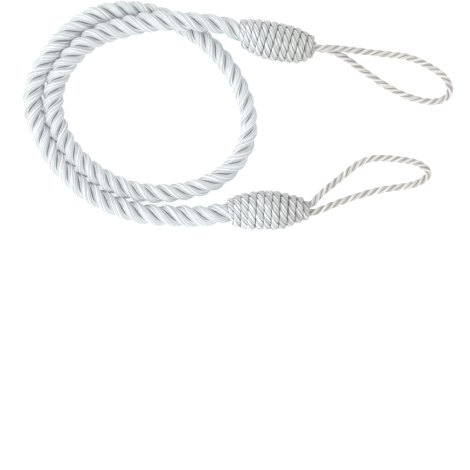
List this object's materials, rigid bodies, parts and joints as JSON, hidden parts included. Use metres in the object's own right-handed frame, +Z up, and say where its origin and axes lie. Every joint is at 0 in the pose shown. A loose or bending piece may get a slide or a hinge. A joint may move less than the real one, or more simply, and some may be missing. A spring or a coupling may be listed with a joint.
{
  "type": "rope curtain tieback",
  "caption": "Twisted satin rope curtain tieback lying in loose turns, with wound thin-cord barrels and hanging loops at its ends.",
  "frame": {"origin": "centre of the tieback's outline as it lies, on the surface it lies on", "axes": "+X from the rope's turns towards the hanging loops, +Y across the tieback towards the side where the rope crosses itself, +Z up from the surface"},
  "size_m": [0.2366, 0.1253, 0.0206],
  "materials": {
    "rope_yarn": "satin",
    "winding_cord": "satin",
    "loop_cord": "satin"
  },
  "bodies": {
    "root": {"rope": "rope_yarn", "wound_end_upper": "winding_cord", "wound_end_lower": "winding_cord", "loop_upper": "loop_cord", "loop_lower": "loop_cord"}
  },
  "joints": []
}
